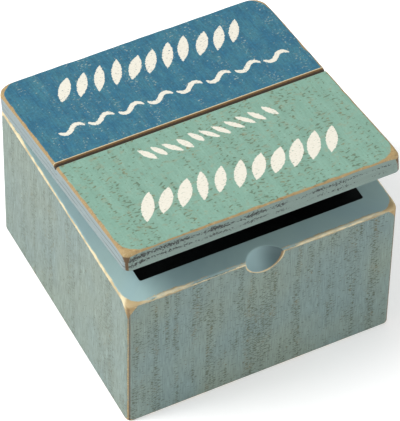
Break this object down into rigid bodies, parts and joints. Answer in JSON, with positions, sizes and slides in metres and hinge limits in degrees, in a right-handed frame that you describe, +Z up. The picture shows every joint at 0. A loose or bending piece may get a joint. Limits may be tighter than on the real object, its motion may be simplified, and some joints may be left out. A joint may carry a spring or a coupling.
{
  "type": "wooden hinged box",
  "caption": "Small square painted wood keepsake box with a flat hinged lid grooved across the top, and a thumb scoop in the front wall's top edge.",
  "frame": {"origin": "centre of the underside", "axes": "+Z up; the front wall with its thumb scoop faces -Y; the lid is hinged along the back, on +Y, about an axis along X"},
  "size_m": [0.1024, 0.1046, 0.085],
  "materials": {
    "box_paint": "matt grey-blue paint, sanded through to bare wood along the edges",
    "inside_paint": "flat matt black paint",
    "lid_paint": "matt blue and aqua paint, sanded through to bare wood along the edges",
    "hinge_brass": "dulled brass"
  },
  "bodies": {
    "box": {"front_wall": "box_paint", "back_wall": "box_paint", "left_wall": "box_paint", "right_wall": "box_paint", "floor_panel": "inside_paint", "left_hinge_box_leaf": "hinge_brass", "left_hinge_pin": "hinge_brass", "left_hinge_box_screw_1": "hinge_brass", "left_hinge_box_screw_2": "hinge_brass", "right_hinge_box_leaf": "hinge_brass", "right_hinge_pin": "hinge_brass", "right_hinge_box_screw_1": "hinge_brass", "right_hinge_box_screw_2": "hinge_brass"},
    "lid": {"lid_board": "lid_paint", "left_hinge_lid_leaf": "hinge_brass", "left_hinge_lid_screw_1": "hinge_brass", "left_hinge_lid_screw_2": "hinge_brass", "right_hinge_lid_leaf": "hinge_brass", "right_hinge_lid_screw_1": "hinge_brass", "right_hinge_lid_screw_2": "hinge_brass"}
  },
  "joints": [
    {"name": "lid_hinge", "type": "hinge", "parent": "box", "child": "lid", "pos_m": [0, 0.0523, 0.06065], "axis": [-1, 0, 0], "range_deg": [-9.2, 170.8]}
  ]
}
